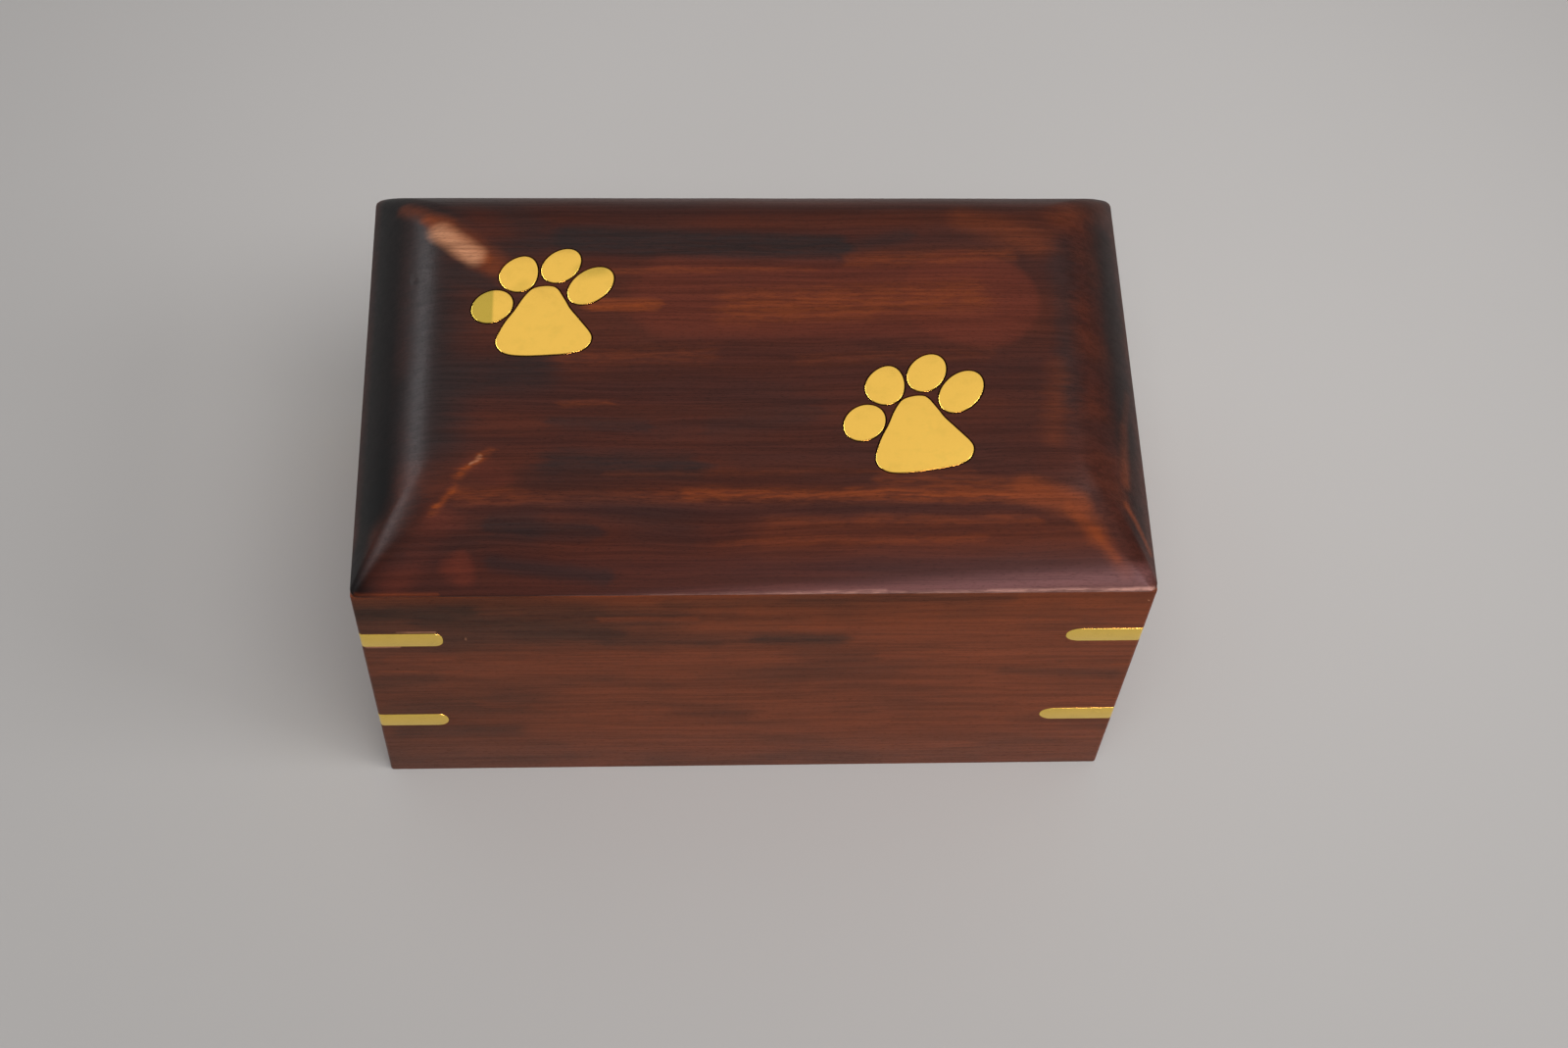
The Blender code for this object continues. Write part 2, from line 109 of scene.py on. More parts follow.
# Stains and wear on the lid, with painted shade, a painted sheen and a painted highlight among them: colour,
# from, to (mm), half width (mm), softness, strength and edge.
# A point without a height is on the lid's flat.
LID_MARKS = (
    ("black", (-60.5, 36, 70), (-60.5, -24, 70), 7.5, 0.7, 0.95, CLEAR),
    ("black", (-60.5, -24, 70), (-63, -37, 65), 4.2, 0.8, 0.9, CLEAR),
    ("black", (-56.5, -6, 73), (-58, -27, 70.5), 5, 1, 0.85, CLEAR),
    ("dark", (-54, 34, 75), (-51.5, -16, 76), 10, 0.9, 0.9, LOOSE),
    ("dark", (-45, 33, 72), (-36, 24, 76), 5, 0.9, 0.55, SOFT),
    ("dark", (-30, 21.8), (14, 19.8), 4, 0.6, 0.9, SOFT),
    ("dark", (-44, 19), (-30, 21.5), 3.6, 0.9, 0.7, SOFT),
    ("dark", (14, 19.5), (26, 22.5), 2.2, 0.9, 0.5, SOFT),
    ("dark", (-49, -6), (-35, -4), 6, 0.8, 0.75, SOFT),
    ("dark", (-32, -14), (-18, -15), 1.8, 0.9, 0.5, STREAKY),
    ("dark", (-31, -21.2), (-10, -22), 3.8, 1, 0.8, STREAKY),
    ("dark", (-6, -15), (9, -12), 4, 0.9, 0.35, STREAKY),
    ("dark", (52, 20, 76), (50.5, -10), 4.2, 1, 0.55, LOOSE),
    ("black", (60.5, 26, 69), (60.5, -30, 69), 5, 0.8, 0.6, LOOSE),
    ("red", (-12, 10), (38, 9.6), 10, 0.45, 0.55, LOOSE),
    ("red", (34, 10.5), (37.8, 9.3), 10, 0.16, 0.5, CLEAR),
    ("warm", (-3, 8.3), (36, 10.4), 5.2, 0.9, 0.75, FRAYED),
    ("warm", (0, 7.6), (18, 7.4), 2.8, 0.95, 0.5, FRAYED),
    ("warm", (16, 17.2), (43, 18.6), 2.4, 0.9, 0.5, FRAYED),
    ("warm", (-22, 15.4), (10, 15.9), 0.9, 0.95, 0.5, FRAYED),
    ("warm", (-27, 9), (-16, 8.6), 1.9, 0.8, 0.9, SOFT),
    ("bright", (-26, 8.2), (-17, 8.3), 1, 0.95, 0.5, FRAYED),
    ("warm", (-30, -1.5), (-8, -1), 3.5, 0.95, 0.3, FRAYED),
    ("warm", (-31, -10.6), (-22, -10.4), 1.1, 0.95, 0.45, FRAYED),
    ("warm", (8, -2), (38, -1), 2.2, 0.95, 0.2, FRAYED),
    ("red", (-44, -22), (-40, -24), 3.4, 0.9, 0.5, LOOSE),
    ("warm", (-46, -27.2, 75.6), (48, -27.2, 75.6), 2.4, 0.95, 0.6, BROKEN),
    ("bright", (-10, -26.8, 75.6), (46, -27.4, 75.5), 1.7, 0.95, 0.5, FRAYED),
    ("warm", (20, -24.4, 76.1), (44, -26.2, 75.8), 2.4, 0.95, 0.6, BROKEN),
    ("warm", (-23, -23.2), (34, -23.2), 0.9, 0.95, 0.25, FRAYED),
    ("warm", (2, -31, 73.9), (44, -30.8, 74), 1.6, 0.95, 0.45, FRAYED),
    ("warm", (-6, -33.4, 71.8), (35, -33.2, 72), 1.1, 0.95, 0.4, FRAYED),
    ("warm", (42, -26.4, 75.7), (50, -28.6, 75), 3.4, 0.8, 0.85, CLEAR),
    ("warm", (50, -28.6, 75), (53, -32.6, 72.4), 2.8, 1, 0.6, CLEAR),
    ("warm", (53, -32.6, 72.4), (58.2, -36.6, 67.4), 2.2, 1, 0.6, CLEAR),
    ("bright", (48.5, -29.2, 74.9), (53, -32.6, 72.4), 1.5, 0.95, 0.3, THIN),
    ("bright", (53, -32.6, 72.4), (56.6, -35.6, 69.4), 1.1, 0.95, 0.4, THIN),
    ("warm", (61.6, -4, 67.6), (60, -12, 70), 1.8, 1, 0.35, CLEAR),
    ("warm", (60, -12, 70), (58.9, -22.4, 71.1), 2.2, 1, 0.5, CLEAR),
    ("warm", (58.6, -27, 71.6), (62.4, -32.6, 66.4), 1.3, 0.95, 0.7, CLEAR),
    ("warm", (52, 27, 75.6), (61, 34, 69), 4.5, 0.95, 0.3, LOOSE),
    ("red", (-49, -31, 74), (-56.6, -37.6, 66.6), 4, 0.9, 0.42, CLEAR),
    ("red", (-50.5, -30, 74.6), (-46, -31, 73.8), 2.4, 0.9, 0.3, LOOSE),
    ("dark", (-55, -33.5, 70.5), (-36, -31.5, 73.5), 5, 1, 0.55, SOFT),
    ("dark", (-41, -31.4, 73.6), (-26, -32, 73.2), 2.4, 0.8, 0.65, STREAKY),
    ("dark", (-41, -35.4, 69.6), (-24, -37, 67.4), 2.4, 0.9, 0.65, LOOSE),
    ("red", (-47, -36, 68.8), (-46.4, -36.4, 68.3), 3.4, 0.8, 0.6, CLEAR),
    ("red", (-45.8, -35, 70), (-45.4, -37, 67.6), 2.2, 0.7, 0.5, CLEAR),
    ("warm", (-42, -19.4), (-46.4, -24), 1.4, 0.95, 0.75, BROKEN),
    ("bright", (-42.6, -20), (-45.8, -23.4), 0.8, 0.95, 0.8, BROKEN),
    ("raw", (-42.6, -20), (-44.2, -21.4), 0.5, 0.95, 0.7, BROKEN),
    ("warm", (-46.6, -26, 75.9), (-50.6, -29.5, 74.8), 1.2, 0.95, 0.75, BROKEN),
    ("bright", (-47.2, -26.6, 75.8), (-50, -28.8, 75), 0.7, 0.95, 0.7, BROKEN),
    ("warm", (-58, 31.2, 72.4), (-50, 25, 75.8), 2.4, 0.95, 0.55, CLEAR),
    ("warm", (-51, 24.6, 75.9), (-42, 16.8), 3.8, 0.95, 0.65, CLEAR),
    ("bright", (-53.5, 26.8, 74.9), (-43.6, 17.8), 1.9, 1, 0.65, THIN),
    ("raw", (-51.2, 23.6, 76), (-45.4, 18.5), 3, 0.9, 1, THIN),
    ("warm", (-62.6, -38.5, 65), (-50, -38.6, 65), 0.7, 0.8, 0.6, THIN),
    ("dark", (-48, 15, 76.1), (-43, 12.4), 3, 0.8, 0.7, SOFT),
    ("warm", (2, -33, 72.3), (52, -33, 72.3), 6, 1, 0.3, SOFT),
    ("warm", (36, 26.5, 76.1), (48, 21.5), 5, 1, 0.5, SOFT),
    ("warm", (49, -4), (47, -17), 3.6, 1, 0.3, SOFT),
    ("dark", (-33, -24.5, 76.1), (-12, -32, 73.2), 6, 1, 0.4, SOFT),
    # Painted shade: these three darken the colour to take back the lamps' sheen on the right slope, along the
    # front of the flat and over the left front hip.
    ("black", (61, 38, 70), (61, -12, 70), 8.5, 0.8, 0.5, CLEAR),
    ("black", (-40, -24, 76.1), (12, -28, 75.6), 9, 1, 0.16, CLEAR),
    ("black", (-53.5, -28, 75), (-61.5, -37.5, 66), 4.5, 1, 0.35, CLEAR),
    # Painted sheen: the pinkish reflection of the front light low on the front slope, painted into the
    # colour.
    ("bloom", (-40, -41, 62.5), (62, -37.4, 67.2), 3.4, 1, 0.5, CLEAR),
    # The front arris: partly rubbed bare, partly a painted highlight of the front light along it.
    ("worn", (-34, -38.6, 64.1), (20, -38.6, 65), 0.8, 0.9, 0.45, WORN),
    ("worn", (4, -38.6, 64.4), (63, -38.6, 65.1), 0.8, 0.8, 0.85, WORN),
)

# Painted reflection on the left paw, places where the brass's reflection is darker painted duller: from, to
# (mm), half width (mm), softness, strength
PAINTED_BRASS_REFLECTIONS = (
    ((-46, 14), (-46, 3), 4.3, 0.12, 0.76),
    ((-39, 10.5), (-37, 12.8), 1.6, 0.9, 0.18),
    ((-27.5, 15.4), (-24.5, 15.8), 2.4, 0.9, 0.40),
    ((-34, 17.8), (-32, 19.6), 1.2, 0.9, 0.10),
)

# The same as on the lid, on the outside of the front wall, where a point is its place along and its height.
# The first two paint shade onto the wall's left and light onto its right.
FRONT_MARKS = (
    # Painted shade and painted light: the wall is darkened towards its left end and lightened towards its
    # right, as light falls on it.
    ("dark", (-66, 66), (-66, 0), 52, 1, 0.35, CLEAR),
    ("warm", (62, 50), (40, 20), 45, 1, 0.35, THIN),
    ("dark", (-63, 59), (-46, 60), 3.6, 0.8, 0.7, STREAKY),
    ("dark", (-66, 59), (-14, 57), 8, 1, 0.65, SOFT),
    ("dark", (-50, 50), (12, 49), 4.2, 1, 0.45, SOFT),
    ("dark", (-14, 62), (40, 63), 2.6, 1, 0.4, SOFT),
    ("dark", (-52, 56), (-24, 52), 4.2, 0.7, 0.55, STREAKY),
    ("dark", (1, 49.6), (14, 49), 3.2, 1, 0.65, SOFT),
    ("dark", (-24, 48.5), (-6, 48), 2.6, 1, 0.35, SOFT),
    ("dark", (-62, 35), (-54, 36), 3.4, 0.8, 0.35, STREAKY),
    ("dark", (-60, 15.5), (-40, 16), 3.4, 0.8, 0.45, STREAKY),
    ("dark", (42, 37), (60, 36), 2.6, 0.8, 0.35, STREAKY),
    ("warm", (-25, 56.8), (-10, 56.6), 1.4, 0.8, 0.6, STREAKY),
    ("warm", (5, 53.5), (56, 56), 1.1, 0.9, 0.6, FRAYED),
    ("warm", (-58, 43), (-10, 43.4), 2.6, 0.7, 0.4, FRAYED),
    ("warm", (22, 43), (44, 43.6), 2.6, 0.8, 0.55, STREAKY),
    ("warm", (-62, 38.7), (-48, 38.9), 0.5, 0.9, 0.7, STREAKY),
    ("bright", (60.5, 39.2), (63.2, 39.4), 0.5, 0.9, 0.6, THIN),
    ("warm", (-45, 26), (-8, 23), 2, 0.8, 0.35, FRAYED),
    ("warm", (44, 24), (63, 26), 1.6, 0.8, 0.5, STREAKY),
    ("warm", (-20, 7), (40, 8), 2.4, 0.9, 0.4, FRAYED),
    ("warm", (44, 16), (60, 12), 5, 1, 0.5, SOFT),
    ("raw", (-57.3, 52.75), (-51.3, 52.75), 0.32, 0.4, 0.7, WORN),
    ("raw", (-62.6, 47.7), (-57.6, 47.7), 0.42, 0.4, 0.8, THIN),
    ("raw", (-46.5, 50.6), (-46.5, 50), 0.25, 0.9, 0.5, CLEAR),
    ("raw", (62.4, 61.8), (62.5, 61.6), 0.22, 0.9, 0.9, CLEAR),
)


# Shader nodes

def feed(tree, socket, value):
    """Links a socket to another node's output, or sets its value."""
    if isinstance(value, bpy.types.NodeSocket):
        tree.links.new(value, socket)
    else:
        socket.default_value = value


def place(tree, kind, inputs=None, **settings):
    """Adds a node, with values or links for its inputs by name or number."""
    node = tree.nodes.new(kind)
    for name, value in settings.items():
        setattr(node, name, value)
    for name, value in (inputs or {}).items():
        feed(tree, node.inputs[name], value)
    return node


def calc(tree, operation, *values):
    return place(tree, "ShaderNodeMath", dict(enumerate(values)), operation=operation).outputs[0]


def vector_calc(tree, operation, *values):
    return place(tree, "ShaderNodeVectorMath", dict(enumerate(values)), operation=operation).outputs[0]


def measured(tree, operation, *values):
    """A vector calculation that gives one number."""
    return place(tree, "ShaderNodeVectorMath", dict(enumerate(values)), operation=operation).outputs["Value"]


def scaled(tree, vector, amount):
    return place(tree, "ShaderNodeVectorMath", {0: vector, "Scale": amount}, operation="SCALE").outputs[0]


def noise_value(tree, position, density, detail=2.0, roughness=0.5):
    """Noise with so many waves a metre along each axis."""
    dense = vector_calc(tree, "MULTIPLY", position, density)
    inputs = {"Vector": dense, "Scale": 1.0, "Detail": detail, "Roughness": roughness}
    return place(tree, "ShaderNodeTexNoise", inputs).outputs["Fac"]


def stepped(tree, value, low, high, out_low=0.0, out_high=1.0):
    inputs = {"Value": value, "From Min": low, "From Max": high, "To Min": out_low, "To Max": out_high}
    return place(tree, "ShaderNodeMapRange", inputs, interpolation_type="SMOOTHSTEP").outputs["Result"]


def mixed(tree, amount, first, second, blend="MIX"):
    node = place(tree, "ShaderNodeMix", data_type="RGBA", blend_type=blend)
    for number, value in ((0, amount), (6, first), (7, second)):
        feed(tree, node.inputs[number], value)
    return node.outputs[2]


def shaded(tree, colour, shade):
    """The colour made darker or lighter."""
    tone = place(tree, "ShaderNodeCombineColor", {0: shade, 1: shade, 2: shade}).outputs[0]
    return mixed(tree, 1.0, colour, tone, "MULTIPLY")


def new_group(name, inputs, outputs):
    """A shader node group with named sockets. Inputs give (name, type, default), outputs (name, type)."""
    group = bpy.data.node_groups.new(name, "ShaderNodeTree")
    for socket, kind, default in inputs:
        made = group.interface.new_socket(socket, in_out="INPUT", socket_type=kind)
        if default is not None:
            made.default_value = default
    for socket, kind in outputs:
        group.interface.new_socket(socket, in_out="OUTPUT", socket_type=kind)
    entry = group.nodes.new("NodeGroupInput")
    leave = group.nodes.new("NodeGroupOutput")
    return group, entry.outputs, leave.inputs


def placed_group(tree, name, **inputs):
    node = tree.nodes.new("ShaderNodeGroup")
    node.node_tree = bpy.data.node_groups[name]
    for key, value in inputs.items():
        feed(tree, node.inputs[key.replace("_", " ")], value)
    return node.outputs


def make_grain_group():
    """Wood grain along X: fine lines, broad figure, pores, and a position with streaky edges for stains."""
    group, given, out = new_group(
        "wood_grain",
        [("Position", "NodeSocketVector", None), ("Raggedness", "NodeSocketFloat", 0.003)],
        [("Lines", "NodeSocketFloat"), ("Figure", "NodeSocketFloat"), ("Pores", "NodeSocketFloat"),
         ("Streaky Position", "NodeSocketVector")],
    )
    position = given["Position"]
    bend = noise_value(group, position, (22, 60, 60))
    lift = calc(group, "MULTIPLY", calc(group, "SUBTRACT", bend, 0.5), 0.003)
    shift = place(group, "ShaderNodeCombineXYZ", {"Y": lift, "Z": lift}).outputs[0]
    wavy = vector_calc(group, "ADD", position, shift)
    fine = noise_value(group, wavy, (50, 3200, 2600), 3.0, 0.6)
    medium = noise_value(group, wavy, (24, 1100, 900), 2.0, 0.55)
    lines = calc(group, "ADD", calc(group, "MULTIPLY", fine, 0.5), calc(group, "MULTIPLY", medium, 0.5))
    group.links.new(stepped(group, lines, 0.34, 0.66), out["Lines"])
    figure = noise_value(group, wavy, (11, 190, 150), 3.0, 0.55)
    group.links.new(stepped(group, figure, 0.36, 0.66), out["Figure"])
    pores = noise_value(group, wavy, (1100, 7500, 7500))
    group.links.new(stepped(group, pores, 0.52, 0.72), out["Pores"])
    streak = noise_value(group, wavy, (30, 900, 900), 3.0, 0.6)
    push = calc(group, "MULTIPLY", calc(group, "SUBTRACT", streak, 0.5), given["Raggedness"])
    drift = place(group, "ShaderNodeTexNoise", {"Vector": position, "Scale": 160.0, "Detail": 2.0})
    centred = vector_calc(group, "SUBTRACT", drift.outputs["Color"], (0.5, 0.5, 0.5))
    wander = vector_calc(group, "MULTIPLY", centred, (0.006, 0.0022, 0.0022))
    far_push = calc(group, "MULTIPLY", push, 4.0)
    along = place(group, "ShaderNodeCombineXYZ", {"X": far_push, "Y": push}).outputs[0]
    streaky = vector_calc(group, "ADD", vector_calc(group, "ADD", position, along), wander)
    group.links.new(streaky, out["Streaky Position"])


def make_mottle_group():
    """Soft dark clouds where the stain took more, longer along X than across it."""
    group, given, out = new_group(
        "stain_mottle",
        [("Position", "NodeSocketVector", None), ("Amount", "NodeSocketFloat", 0.5)],
        [("Mask", "NodeSocketFloat")],
    )
    clouds = noise_value(group, given["Position"], (38, 85, 85), 4.0)
    mask = stepped(group, clouds, 0.42, 0.68)
    group.links.new(calc(group, "MULTIPLY", mask, given["Amount"]), out["Mask"])


def make_mark_group():
    """A soft stroke from Start to End: a streak of stain, a place sanded through, or painted sheen, highlight
    and shade.
    """
    group, given, out = new_group(
        "mark",
        [("Position", "NodeSocketVector", None), ("Start", "NodeSocketVector", (0, 0, 0)),
         ("End", "NodeSocketVector", (0, 0, 0)), ("Half Width", "NodeSocketFloat", 0.001),
         ("Softness", "NodeSocketFloat", 0.5), ("Strength", "NodeSocketFloat", 1.0),
         ("Cover", "NodeSocketFloat", 1.0)],
        [("Mask", "NodeSocketFloat")],
    )
    from_start = vector_calc(group, "SUBTRACT", given["Position"], given["Start"])
    stroke = vector_calc(group, "SUBTRACT", given["End"], given["Start"])
    dot = measured(group, "DOT_PRODUCT", from_start, stroke)
    square = measured(group, "DOT_PRODUCT", stroke, stroke)
    along = calc(group, "DIVIDE", dot, calc(group, "MAXIMUM", square, 1e-9))
    along = calc(group, "MINIMUM", calc(group, "MAXIMUM", along, 0.0), 1.0)
    gap = vector_calc(group, "SUBTRACT", from_start, scaled(group, stroke, along))
    distance = measured(group, "LENGTH", gap)
    inner = calc(group, "MULTIPLY", given["Half Width"], calc(group, "SUBTRACT", 1.0, given["Softness"]))
    edge = stepped(group, distance, given["Half Width"], inner)
    covered = calc(group, "MULTIPLY", given["Strength"], given["Cover"])
    group.links.new(calc(group, "MULTIPLY", edge, covered), out["Mask"])


def make_brushing_group():
    """Very fine scratches and slow tarnish on brass."""
    group, given, out = new_group(
        "brass_surface",
        [("Position", "NodeSocketVector", None)],
        [("Scratches", "NodeSocketFloat"), ("Tarnish", "NodeSocketFloat"), ("Ripple", "NodeSocketFloat")],
    )
    scratches = noise_value(group, given["Position"], (900, 14000, 14000))
    group.links.new(stepped(group, scratches, 0.35, 0.65), out["Scratches"])
    tarnish = noise_value(group, given["Position"], (420, 420, 420), 3.0, 0.6)
    group.links.new(stepped(group, tarnish, 0.45, 0.75), out["Tarnish"])
    group.links.new(noise_value(group, given["Position"], (160, 160, 160), 1.0), out["Ripple"])


# Materials

def on_lid(point):
    return Vector((*point, LID_TOP / MM)[:3]) * MM


def on_front(point):
    return Vector((point[0], -HALF_DEPTH / MM, point[1])) * MM


def new_material(name):
    material = bpy.data.materials.new(name)
    material.use_nodes = True
    tree = material.node_tree
    shader = tree.nodes["Principled BSDF"]
    position = tree.nodes.new("ShaderNodeTexCoord").outputs["Object"]
    return material, tree, shader, position


def wood_material(
    name, colours, roughness, marks=(), marked=on_lid, turn=0.0, mottle=0.5, figure=0.35, offset=0.0
):
    """Stained rosewood whose grain runs along X, or along Y where turn is a quarter turn; its marks add
    stains and wear, and painted sheen, highlight and shade.
    """
    material, tree, shader, position = new_material(name)
    mapping = {"Vector": position, "Location": (offset, offset, offset), "Rotation": (0, 0, turn)}
    turned = place(tree, "ShaderNodeMapping", mapping).outputs[0]
    grain = placed_group(tree, "wood_grain", Position=turned)
    clouds = placed_group(tree, "stain_mottle", Position=turned, Amount=mottle)["Mask"]
    patches = noise_value(tree, turned, (260, 1600, 1600))
    bare = calc(tree, "SUBTRACT", 1.0, stepped(tree, patches, 0.38, 0.6))
    colour = mixed(tree, calc(tree, "MULTIPLY", grain["Figure"], figure), colours["body"], colours["warm"])
    colour = mixed(tree, clouds, colour, colours["dark"])
    streaky = vector_calc(tree, "SUBTRACT", grain["Streaky Position"], turned)
    ragged, covers = {}, {}
    for raggedness in sorted({mark[-1][1] for mark in marks}):
        ragged[raggedness] = vector_calc(tree, "ADD", position, scaled(tree, streaky, raggedness))
    for patchiness in sorted({mark[-1][0] for mark in marks}):
        covers[patchiness] = calc(tree, "SUBTRACT", 1.0, calc(tree, "MULTIPLY", bare, patchiness))
    for kind, start, end, half_width, softness, strength, (patchiness, raggedness) in marks:
        mask = placed_group(
            tree, "mark", Position=ragged[raggedness], Start=marked(start), End=marked(end),
            Half_Width=half_width * MM, Softness=softness, Strength=strength, Cover=covers[patchiness],
        )["Mask"]
        colour = mixed(tree, mask, colour, colours[kind])
    shade = stepped(tree, grain["Lines"], 0.0, 1.0, 0.82, 1.18)
    unpored = calc(tree, "SUBTRACT", 1.0, calc(tree, "MULTIPLY", grain["Pores"], 0.3))
    shade = calc(tree, "MULTIPLY", shade, unpored)
    tree.links.new(shaded(tree, colour, shade), shader.inputs["Base Color"])
    rough = calc(tree, "ADD", roughness, calc(tree, "MULTIPLY", grain["Pores"], 0.12))
    rough = calc(tree, "SUBTRACT", rough, calc(tree, "MULTIPLY", grain["Lines"], 0.05))
    tree.links.new(rough, shader.inputs["Roughness"])
    raised = calc(tree, "MULTIPLY", grain["Lines"], 0.35)
    relief = calc(tree, "SUBTRACT", raised, calc(tree, "MULTIPLY", grain["Pores"], 0.6))
    bump = place(tree, "ShaderNodeBump", {"Height": relief, "Strength": 0.5, "Distance": 0.00002})
    tree.links.new(bump.outputs[0], shader.inputs["Normal"])
    shader.inputs["Specular IOR Level"].default_value = WOOD_SHEEN
    return material


def brass_material(name, colour, dull, roughness, marks=(), metallic=1.0):
    material, tree, shader, position = new_material(name)
    surface = placed_group(tree, "brass_surface", Position=position)
    tarnish = calc(tree, "MULTIPLY", surface["Tarnish"], 0.12)
    shown = mixed(tree, tarnish, colour, dull)
    # Painted reflection: each mark dulls the brass where the paw's reflection is darker.
    for start, end, half_width, softness, strength in marks:
        mask = placed_group(
            tree, "mark", Position=position, Start=on_lid(start), End=on_lid(end),
            Half_Width=half_width * MM, Softness=softness, Strength=strength,
        )["Mask"]
        shown = mixed(tree, mask, shown, dull)
    tree.links.new(shown, shader.inputs["Base Color"])
    rough = calc(tree, "ADD", roughness, calc(tree, "MULTIPLY", surface["Scratches"], 0.03))
    rough = calc(tree, "ADD", rough, calc(tree, "MULTIPLY", surface["Tarnish"], 0.03))
    tree.links.new(rough, shader.inputs["Roughness"])
    height = calc(tree, "ADD", calc(tree, "MULTIPLY", surface["Scratches"], 0.03), surface["Ripple"])
    bump = place(tree, "ShaderNodeBump", {"Height": height, "Strength": 0.15, "Distance": 0.00001})
    tree.links.new(bump.outputs[0], shader.inputs["Normal"])
    shader.inputs["Metallic"].default_value = metallic
    return material


def ensure_materials():
    """Makes the node groups and the materials once."""
    if "lid_wood_fine" in bpy.data.materials:
        return
    make_grain_group()
    make_mottle_group()
    make_mark_group()
    make_brushing_group()
    look = bpy.context.scene.urn_colours
    kinds = ("body", "warm", "bright", "red", "dark", "black", "raw", "worn", "bloom")
    lid = {kind: (*getattr(look, kind), 1.0) for kind in kinds}
    wall = dict(lid, body=(*look.wall_body, 1.0), warm=(*look.wall_warm, 1.0), dark=(*look.wall_dark, 1.0))
    satin = look.wood_roughness
    wood_material("lid_wood_fine", lid, satin, LID_MARKS, mottle=0.25, figure=0.16)
    wood_material("long_wall_wood", wall, satin, FRONT_MARKS, on_front, mottle=0.4, offset=0.31)
    wood_material("short_wall_wood", wall, satin, turn=math.radians(90), offset=0.17)
    wood_material("base_wood_fine", wall, satin + 0.15, mottle=0.2, offset=0.53)
    dull = (*look.dull_brass, 1.0)
    brass_material("inlay_brass", (*look.brass, 1.0), dull, look.brass_roughness, PAINTED_BRASS_REFLECTIONS)
    # The bands' brass is made lighter and yellower than the inlays' brass: painted light that the bands'
    # front faces catch.
    brass_material("band_brass", (*look.band_brass, 1.0), dull, look.brass_roughness + 0.06, metallic=0.78)


# Meshes

def linked(name, data):
    """A new object in the scene."""
    thing = bpy.data.objects.new(name, data)
    bpy.context.scene.collection.objects.link(thing)
    return thing


def built(name, solid):
    """Turns a bmesh into an object."""
    mesh = bpy.data.meshes.new(name)
    bmesh.ops.recalc_face_normals(solid, faces=solid.faces)
    solid.to_mesh(mesh)
    solid.free()
    return linked(name, mesh)


def finished(name, solid, material_name, node):
    """Turns a bmesh into a piece that rides on the box, stands for its CAD node and takes its finish."""
    ensure_materials()
    piece = built(name, solid)
    mesh = piece.data
    mesh.shade_smooth()
    mesh.set_sharp_from_angle(angle=SMOOTH_ANGLE)
    mesh.materials.append(bpy.data.materials[material_name])
    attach(piece, "root")
    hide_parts(node)
    return piece


def arc(centre, radius, start, end, steps):
    turns = (start + (end - start) * step / steps for step in range(steps + 1))
    return [(centre[0] + radius * math.cos(turn), centre[1] + radius * math.sin(turn)) for turn in turns]


def divided(start, end, steps):
    """Points strictly between two points in plan."""
    return [
        (start[0] + (end[0] - start[0]) * step / steps, start[1] + (end[1] - start[1]) * step / steps)
        for step in range(1, steps)
    ]


def rounded_rectangle(half_x, half_y, radius):
    """Points round a rectangle in plan, anticlockwise, close together along its sides too."""
    quarters = []
    for quarter, (side_x, side_y) in enumerate(((1, 1), (-1, 1), (-1, -1), (1, -1))):
        centre = (side_x * (half_x - radius), side_y * (half_y - radius))
        start = quarter * math.pi / 2
        quarters.append(arc(centre, radius, start, start + math.pi / 2, CORNER_STEPS))
    points = []
    for i, quarter in enumerate(quarters):
        after = quarters[(i + 1) % 4]
        steps = SIDE_STEPS_LONG if i % 2 == 0 else SIDE_STEPS_SHORT
        points += quarter + divided(quarter[-1], after[0], steps)
    return points


def lofted(solid, rings):
    """Faces between rings of vertices that have the same number of points."""
    for below, above in zip(rings, rings[1:]):
        for i in range(len(below)):
            after = (i + 1) % len(below)
            solid.faces.new((below[i], below[after], above[after], above[i]))
    solid.faces.new(reversed(rings[0]))
    solid.faces.new(rings[-1])


def cut_out(piece, cutters):
    """Takes the cutters out of the piece and removes them."""
    for cutter in cutters:
        boolean = piece.modifiers.new("cut", "BOOLEAN")
        boolean.operation = "DIFFERENCE"
        boolean.solver = "EXACT"
        boolean.object = cutter
    bpy.context.view_layer.update()
    cut = bpy.data.meshes.new_from_object(piece.evaluated_get(bpy.context.evaluated_depsgraph_get()))
    piece.modifiers.clear()
    piece.data = cut
    cut.shade_smooth()
    cut.set_sharp_from_angle(angle=SMOOTH_ANGLE)
    for cutter in cutters:
        bpy.data.objects.remove(cutter)


def slope_profile(sizes):
    """Inset from the box's side and height along the lid's profile, from its edge's underside to the flat."""
    def height(share):
        return ARRIS + (LID_TOP - ARRIS) * (1 - (1 - share) ** sizes.slope_power)

    fillet = sizes.arris_radius
    lower = 0.12 * MM
    points = [(lower, SEAT), (lower * 0.3, SEAT + lower * 0.3), (0.0, SEAT + lower)]
    steepness = math.atan((LID_TOP - ARRIS) * sizes.slope_power / sizes.slope_width)
    half_turn = (math.pi / 2 - steepness) / 2
    reach = fillet * math.tan(half_turn)
    for step in range(FILLET_STEPS + 1):
        turn = 2 * half_turn * step / FILLET_STEPS
        inset = fillet * (1 - math.cos(turn))
        points.append((inset, ARRIS - reach + fillet * math.sin(turn)))
    joined = points[-1][0] / sizes.slope_width
    for step in range(1, SLOPE_STEPS + 1):
        share = joined + (1 - joined) * step / SLOPE_STEPS
        points.append((sizes.slope_width * share, height(share)))
    flat = sizes.slope_width
    return points + [(flat + 0.4 * MM, LID_TOP), (flat + 1.2 * MM, LID_TOP)]


